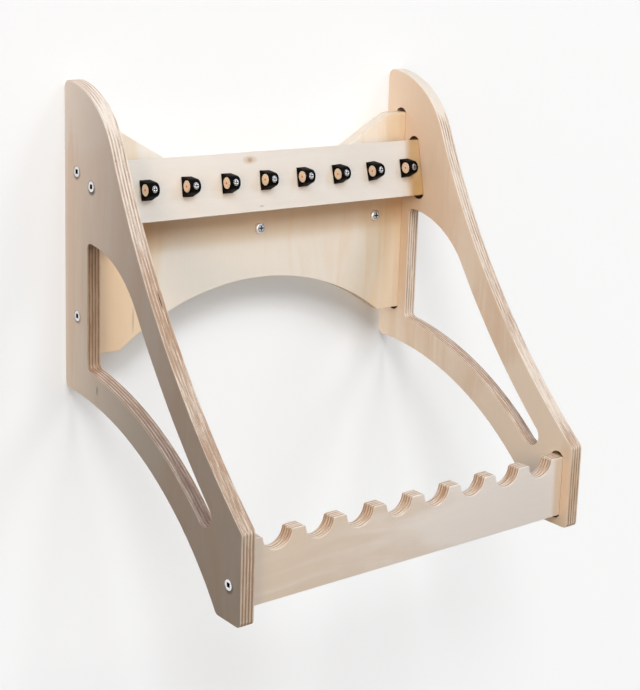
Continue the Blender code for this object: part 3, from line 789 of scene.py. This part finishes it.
def board_list():
    """Each plywood board: its node, its axes and middle plane, its tones with painted light, and its
    marks.

    Tones with painted light, painted shades and shadows, and the shade painted in hollows are patches: a
    middle and half sizes along and across the grain, and a strength. A mark also has a place and half
    size through the board, and a colour.
    """
    reach = WIDTH / 2 - PLY / 2
    front = -PLY / 2
    # Painted shade inside the round reliefs of the mortises, on the side boards' edges
    hollow_shades = tuple(
        (spot, HOLLOW_SIZE, 1.0)
        for spot in ((0.3245, -0.018), (0.3010, -0.036), (0.2485, -0.046), (0.1410, -0.018),
                     (0.0640, -0.231), (0.0085, -0.231))
    )
    left_marks = screw_shades(-1, "left") + (
        ((0.122, -0.0497, front), (0.005, 0.0009, 0.001), 0.75, CRACK_AND_SHADE),
        ((0.209, -0.1288, 0.0026), (0.0075, 0.02, 0.0006), 1.0, CRACK_AND_SHADE),
        ((0.197, -0.1370, 0.0036), (0.0055, 0.02, 0.0004), 0.9, CRACK_AND_SHADE),
        ((0.3053, -0.0753, -0.0045), (0.0011, 0.002, 0.0005), 0.9, CRACK_AND_SHADE),
    )
    rail_marks = (
        ((-0.0253, 0.2781, front), (0.0085, 0.0042, 0.002), 0.35, KNOT),
        ((-0.0253, 0.2781, front), (0.0034, 0.0026, 0.002), 0.65, KNOT),
        ((-0.0178, 0.2398, front), (0.0030, 0.0006, 0.001), 0.4, CRACK_AND_SHADE),
    )
    back_marks = (
        ((0.167, -0.1234, front), (0.014, 0.0008, 0.001), 0.35, CRACK_AND_SHADE),
    )
    # Tone patches with painted light: lighter at the crown and low at the front, warmer in a strip along
    # the back
    left_tones_and_painted_light = (
        ((0.345, -0.02), (0.05, 0.06), -0.25),
        ((0.105, -0.105), (0.06, 0.05), -0.30),
        ((0.23, -0.010), (0.13, 0.007), 0.45),
    )
    # Painted light and shade on the edges: lighter at the crown, where light falls from above, warmer
    # lower down
    left_edge_tones_and_painted_light = (
        ((0.35, -0.03), (0.05, 0.06), -0.30),
        ((0.276, -0.09), (0.05, 0.05), 0.05),
        ((0.205, -0.135), (0.07, 0.06), 0.25),
        ((0.11, -0.21), (0.06, 0.06), 0.18),
        ((0.035, -0.246), (0.05, 0.03), 0.25),
        ((0.19, -0.0345), (0.10, 0.012), 0.20),
    )
    # Painted shade on edges in shade: at the slot's rear wall, halfway down the front edge and at the
    # foot
    left_edge_painted_shades = (
        ((0.19, -0.0345), (0.13, 0.012), 0.55),
        ((0.205, -0.135), (0.05, 0.05), 0.25),
        ((0.035, -0.246), (0.05, 0.03), 0.15),
    )
    # Painted light and shade: the foot much lighter, the crown's inside warmer and darker, warmer at mid
    # height
    right_tones_and_painted_light = (
        ((0.05, -0.22), (0.10, 0.10), -0.80),
        ((0.22, -0.05), (0.10, 0.08), 0.15),
        ((0.335, -0.035), (0.06, 0.06), 0.25),
    )
    # Painted light on the edges: the crown's edge much lighter, lit from above
    right_edge_tones_and_painted_light = (
        ((0.35, -0.03), (0.05, 0.06), -1.1),
        ((0.035, -0.246), (0.05, 0.03), -0.05),
        ((0.2395, -0.11), (0.06, 0.05), -0.05),
        ((0.12, -0.215), (0.05, 0.06), -0.35),
    )
    # Tones with painted light and shade: warmer down the left side seen through the slot and at the
    # right ear's shaded part, lighter in the middle and at the left ear
    back_tones_and_painted_light = (
        ((0.22, -0.15), (0.5, 0.06), 0.4),
        ((0.22, 0.15), (0.5, 0.045), 0.1),
        ((0.22, 0.0), (0.5, 0.11), -0.15),
        ((0.305, 0.115), (0.03, 0.03), -0.05),
        ((0.315, 0.155), (0.03, 0.02), 0.55),
        ((0.315, -0.13), (0.035, 0.06), -0.30),
        ((0.19, -0.07), (0.05, 0.05), -0.20),
    )
    # Painted light: the ears' top edges lighter, lit from above
    back_edge_tones_and_painted_light = (
        ((0.31, 0.11), (0.06, 0.08), -0.8),
        ((0.31, -0.11), (0.06, 0.08), -0.8),
    )
    # Lighter towards the right, warmer towards the left
    front_tones = (
        ((0.20, 0.03), (0.30, 0.6), -0.28),
        ((-0.12, 0.03), (0.20, 0.6), 0.18),
    )
    # Painted shade round the slot's rear wall in the left board
    left_painted_shades = (
        ((0.21, -0.034), (0.08, 0.012), 0.15),
    )
    # Painted shade low on the right board near its front
    right_painted_shades = (
        ((0.035, -0.241), (0.05, 0.012), 0.40),
    )
    # Painted shadow of the right board on the back board's upper right corner
    back_shades = (
        ((0.315, 0.168), (0.04, 0.022), 0.22),
    )
    # Painted shadow of the magnet rail across the back board, and painted shade low on the left, seen
    # through the slot
    back_painted_shades = (
        ((0.238, 0.0), (0.022, 0.5), 0.40),
        ((0.20, -0.155), (0.14, 0.035), 0.14),
    )
    # Painted shadow of the right board on the magnet rail's right end
    rail_shades = (
        ((0.168, 0.25), (0.033, 0.12), 0.88),
        ((0.170, 0.232), (0.032, 0.034), 0.25),
    )
    # Painted shadow of the right board on the front rail's right end
    front_shades = (
        ((0.168, 0.035), (0.024, 0.14), 0.32),
    )
    plain = {"tones_and_painted_light": (), "edge_tones_and_painted_light": (), "edge_painted_shades": (), "painted_shades": (), "shades": (),
             "hollow_shades": (), "marks": ()}
    side = {**plain, "along": Z, "across": Y, "through": X, "hollow_shades": hollow_shades, "slot": "side_plywood"}
    rail = {**plain, "along": X, "slot": "rail_plywood"}
    return (
        {**side, "node": "left_side", "name": "left_board", "middle": -reach, "pale": LEFT_PALE,
         "warm": LEFT_WARM, "tones_and_painted_light": left_tones_and_painted_light, "edge_tones_and_painted_light": left_edge_tones_and_painted_light,
         "edge_painted_shades": left_edge_painted_shades, "painted_shades": left_painted_shades, "marks": left_marks},
        {**side, "node": "right_side", "name": "right_board", "middle": reach, "pale": RIGHT_PALE,
         "warm": RIGHT_WARM, "tones_and_painted_light": right_tones_and_painted_light, "edge_tones_and_painted_light": right_edge_tones_and_painted_light,
         "painted_shades": right_painted_shades, "marks": screw_shades(1, "right")},
        {**plain, "node": "back_panel", "name": "back_board", "along": Z, "across": X, "through": Y,
         "middle": -BACK_GAP - PLY / 2, "pale": BACK_PALE, "warm": BACK_WARM, "tones_and_painted_light": back_tones_and_painted_light,
         "edge_tones_and_painted_light": back_edge_tones_and_painted_light, "painted_shades": back_painted_shades, "shades": back_shades,
         "marks": back_marks, "slot": "back_plywood"},
        {**rail, "node": "magnet_rail", "name": "holder_rail", "across": RAIL_UP, "through": RAIL_IN,
         "middle": RAIL_LOWER_EDGE.dot(RAIL_IN) + PLY / 2, "pale": RAIL_PALE, "warm": RAIL_WARM,
         "shades": rail_shades, "marks": rail_marks},
        {**rail, "node": "front_rail", "name": "notched_rail", "across": Z, "through": Y,
         "middle": FRONT_RAIL_INSET + PLY / 2 - DEPTH, "pale": FRONT_PALE, "warm": FRONT_WARM,
         "tones_and_painted_light": front_tones, "shades": front_shades},
    )


def make_boards():
    """The plywood boards, each with its own grain."""
    for index, board in enumerate(board_list()):
        board["seed"] = SEED_STEP * index
        dressed_board(board["node"], board["name"], birch_plywood(board))


def make_holders(shade_paint):
    """The blade holders: block, magnet and screw, one set modelled and copied along the rail."""
    plastic = black_plastic()
    # Nickel whose warm tint is a painted reflection of the wood
    nickel_with_painted_reflection = bright_metal(*NICKEL_AND_PAINTED_REFLECTION)
    tarnish = bright_metal(*TARNISH)
    steel = bright_metal(*STEEL)
    block = holder_block()
    magnet = holder_magnet()
    screw = wood_screw("holder_screw_model", HOLDER_SCREW, False, HOLDER_CROSS)
    pocket = Matrix.Translation((-HOLDER_SCREW_INSET, NOSE_RADIUS - HOLDER_REACH, 0)) @ to_side(-1)
    seat = Matrix.Translation((0, -HEAD_SEAT - FIT, 0)) @ TO_FRONT
    for index in range(STATIONS):
        number = index + 1
        place = holder_place(index)
        body = f"holder_{number}"
        put_copy(block, f"blade_block_{number}", place, [plastic], body, f"holder_block_{number}")
        put_copy(magnet, f"disc_magnet_{number}", place @ pocket, [nickel_with_painted_reflection, tarnish], body,
                 f"holder_magnet_{number}")
        put_copy(screw, f"block_screw_{number}", place @ seat, [steel, shade_paint], "till",
                 f"holder_screw_{number}")
    for model in (block, magnet, screw):
        bpy.data.objects.remove(model)


def make_screws(shade_paint):
    """The square-drive screws through the sides and the cross-drive screws into the wall."""
    finish = [bright_metal(*ZINC), shade_paint]
    side_screw = wood_screw("side_screw_model", SIDE_SCREW, True, SIDE_SQUARE)
    wall_screw = wood_screw("wall_screw_model", WALL_SCREW, False, WALL_CROSS)
    for side, word in ((-1, "left"), (1, "right")):
        for kind in SIDE_SCREWS:
            node = f"{kind}_{word}"
            low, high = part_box(node)
            middle = (low + high) / 2
            head = (side * (WIDTH / 2 - HEAD_SINK), middle.y, middle.z)
            place = Matrix.Translation(head) @ to_side(side)
            put_copy(side_screw, f"{node}_driven", place, finish, "till", node)
    for word in ("left", "middle", "right"):
        node = f"wall_screw_{word}"
        low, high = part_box(node)
        middle = (low + high) / 2
        seat = low.y + WALL_SCREW[2]
        place = Matrix.Translation((middle.x, seat, middle.z)) @ TO_FRONT
        put_copy(wall_screw, f"{node}_driven", place, finish, "till", node)
    for model in (side_screw, wall_screw):
        bpy.data.objects.remove(model)


def add_camera():
    """The camera at the picture's place and angle."""
    look = Vector((
        math.sin(CAMERA_YAW) * math.cos(CAMERA_PITCH),
        math.cos(CAMERA_YAW) * math.cos(CAMERA_PITCH),
        math.sin(CAMERA_PITCH),
    ))
    level = Vector((math.cos(CAMERA_YAW), -math.sin(CAMERA_YAW), 0))
    upright = level.cross(look)
    right = level * math.cos(CAMERA_ROLL) + upright * math.sin(CAMERA_ROLL)
    up = upright * math.cos(CAMERA_ROLL) - level * math.sin(CAMERA_ROLL)
    deselect()
    bpy.ops.object.camera_add()
    camera = bpy.context.active_object
    turn = Matrix((right, up, -look)).transposed().to_4x4()
    camera.matrix_world = Matrix.Translation(CAMERA_PLACE) @ turn
    camera.data.lens = CAMERA_LENS
    camera.data.shift_x, camera.data.shift_y = CAMERA_SHIFT
    bpy.context.scene.camera = camera


def add_lamp(name, place, size, level, pieces, state):
    """A soft box aimed at the till, as strong as its level asks, off some pieces or on them alone."""
    way = Vector(place) - AIM
    strongest = max(level)
    deselect()
    bpy.ops.object.light_add(type="AREA", location=place)
    lamp = bpy.context.active_object
    lamp.name = name
    lamp.rotation_euler = way.to_track_quat("Z", "Y").to_euler()
    lamp.data.shape = "RECTANGLE"
    lamp.data.size, lamp.data.size_y = size
    lamp.data.color = [share / strongest for share in level]
    lamp.data.energy = strongest * (math.pi * way.length) ** 2
    lamp.visible_camera = False
    limit_lamp(lamp, pieces, state)


def add_wall_light(name, way, width, level):
    """Even light from far away that falls on the wall alone."""
    way = Vector(way).normalized()
    deselect()
    bpy.ops.object.light_add(type="SUN", location=way)
    lamp = bpy.context.active_object
    lamp.name = name
    lamp.rotation_euler = way.to_track_quat("Z", "Y").to_euler()
    lamp.data.angle = width
    lamp.data.energy = level * math.pi / -way.y
    limit_lamp(lamp, ("wall",), "INCLUDE")


def limit_lamp(lamp, names, state):
    """Keeps a lamp off the named objects, or on them alone."""
    group = bpy.data.collections.new(lamp.name + "_reach")
    for name in names:
        group.objects.link(bpy.data.objects[name])
    for entry in group.collection_objects:
        entry.light_linking.link_state = state
    lamp.light_linking.receiver_collection = group


def seen_ray(path):
    """1 for rays that show the surroundings: camera, glossy and transmission rays."""
    seen = path["Is Camera Ray"].most(path["Is Glossy Ray"])
    return seen.most(path["Is Transmission Ray"])


def light_world():
    """Light from all round, weaker from the left. Shiny pieces see the pale backdrop dimmer in front."""
    world = bpy.data.worlds.new("studio")
    world.use_nodes = True
    bpy.context.scene.world = world
    tree = world.node_tree
    path = add_node(tree, "LightPath", {}, {})
    way = add_node(tree, "TexCoord", {}, {})["Generated"]
    lit = AMBIENT_SHADE + (1 - AMBIENT_SHADE) * along_axis(way, X).step(*AMBIENT_TURN)
    room = scaled(AMBIENT, lit)
    dim = path["Is Glossy Ray"] * (1 - along_axis(way, Y).step(*DIM_TURN))
    backdrop = blend(dim, opaque(BACKDROP), opaque(DIM_FRONT))
    background = tree.nodes["Background"]
    background.inputs["Strength"].default_value = 1
    link(blend(seen_ray(path), room, backdrop), background.inputs["Color"])


def add_stage(name, place, turn, shader_of):
    """A wide plane, seen only from its front."""
    deselect()
    bpy.ops.mesh.primitive_plane_add(size=STAGE_SIZE, location=place, rotation=turn)
    plane = bpy.context.active_object
    plane.name = name
    material = bpy.data.materials.new(name)
    material.use_nodes = True
    tree = material.node_tree
    tree.nodes.remove(tree.nodes["Principled BSDF"])
    front = shader_of(tree)
    behind = add_node(tree, "NewGeometry", {}, {})["Backfacing"]
    clear = add_node(tree, "BsdfTransparent", {}, {})["BSDF"]
    whole = add_node(tree, "MixShader", {}, {0: behind, 1: front, 2: clear})["Shader"]
    link(whole, tree.nodes["Material Output"].inputs["Surface"])
    plane.data.materials.append(material)


def wall_shader(tree):
    """A pale wall: what is seen keeps a soft shadow, and its bounce reaches only what is near it."""
    path = add_node(tree, "LightPath", {}, {})
    paint = add_node(tree, "BsdfDiffuse", {}, {"Color": opaque(WALL_COLOUR)})["BSDF"]
    # Painted contact shade on the glow: darker close to the till, between its sides and below its arch
    clear = add_node(tree, "AmbientOcclusion", {}, {"Distance": CONTACT_REACH})["AO"]
    point = add_node(tree, "TexCoord", {}, {})["Object"]
    within = 1 - abs(along_axis(point, X)).step(*CONTACT_SIDES)
    below = 1 - along_axis(point, Y).step(*CONTACT_TOP)
    closed = (1 - clear * clear * clear) * within * below
    shaded = blend(closed, opaque(BACKDROP), opaque(CONTACT_SHADE))
    glow = add_node(tree, "Emission", {}, {"Color": shaded, "Strength": 1})["Emission"]
    shown = add_node(tree, "MixShader", {}, {0: WALL_GLOW, 1: paint, 2: glow})["Shader"]
    away = path["Ray Length"].step(*BOUNCE_REACH)
    colour = blend(away, opaque(WALL_BOUNCE), opaque(AMBIENT))
    bounce = add_node(tree, "Emission", {}, {"Color": colour, "Strength": 1})["Emission"]
    return add_node(tree, "MixShader", {}, {0: seen_ray(path), 1: bounce, 2: shown})["Shader"]


def floor_shader(tree):
    """A pale floor that keeps a soft shadow."""
    path = add_node(tree, "LightPath", {}, {})
    paint = add_node(tree, "BsdfDiffuse", {}, {"Color": opaque(FLOOR_COLOUR)})["BSDF"]
    glow = add_node(tree, "Emission", {}, {"Color": opaque(BACKDROP), "Strength": 1})["Emission"]
    shown = add_node(tree, "MixShader", {}, {0: FLOOR_GLOW, 1: paint, 2: glow})["Shader"]
    return add_node(tree, "MixShader", {}, {0: seen_ray(path), 1: paint, 2: shown})["Shader"]


bpy.context.scene.view_settings.view_transform = "Standard"
make_boards()
# Painted shade for the inside of the screws' driver recesses
recess_shade_paint = bright_metal(*SHADE_PAINT)
make_holders(recess_shade_paint)
make_screws(recess_shade_paint)
add_camera()
add_stage("wall", (0, WALL_GAP, 0), (math.radians(90), 0, 0), wall_shader)
add_stage("floor", (0, 0, -FLOOR_DROP), (0, 0, 0), floor_shader)
light_world()
for lamp in LAMPS:
    add_lamp(*lamp)
for lamp in WALL_LIGHTS:
    add_wall_light(*lamp)
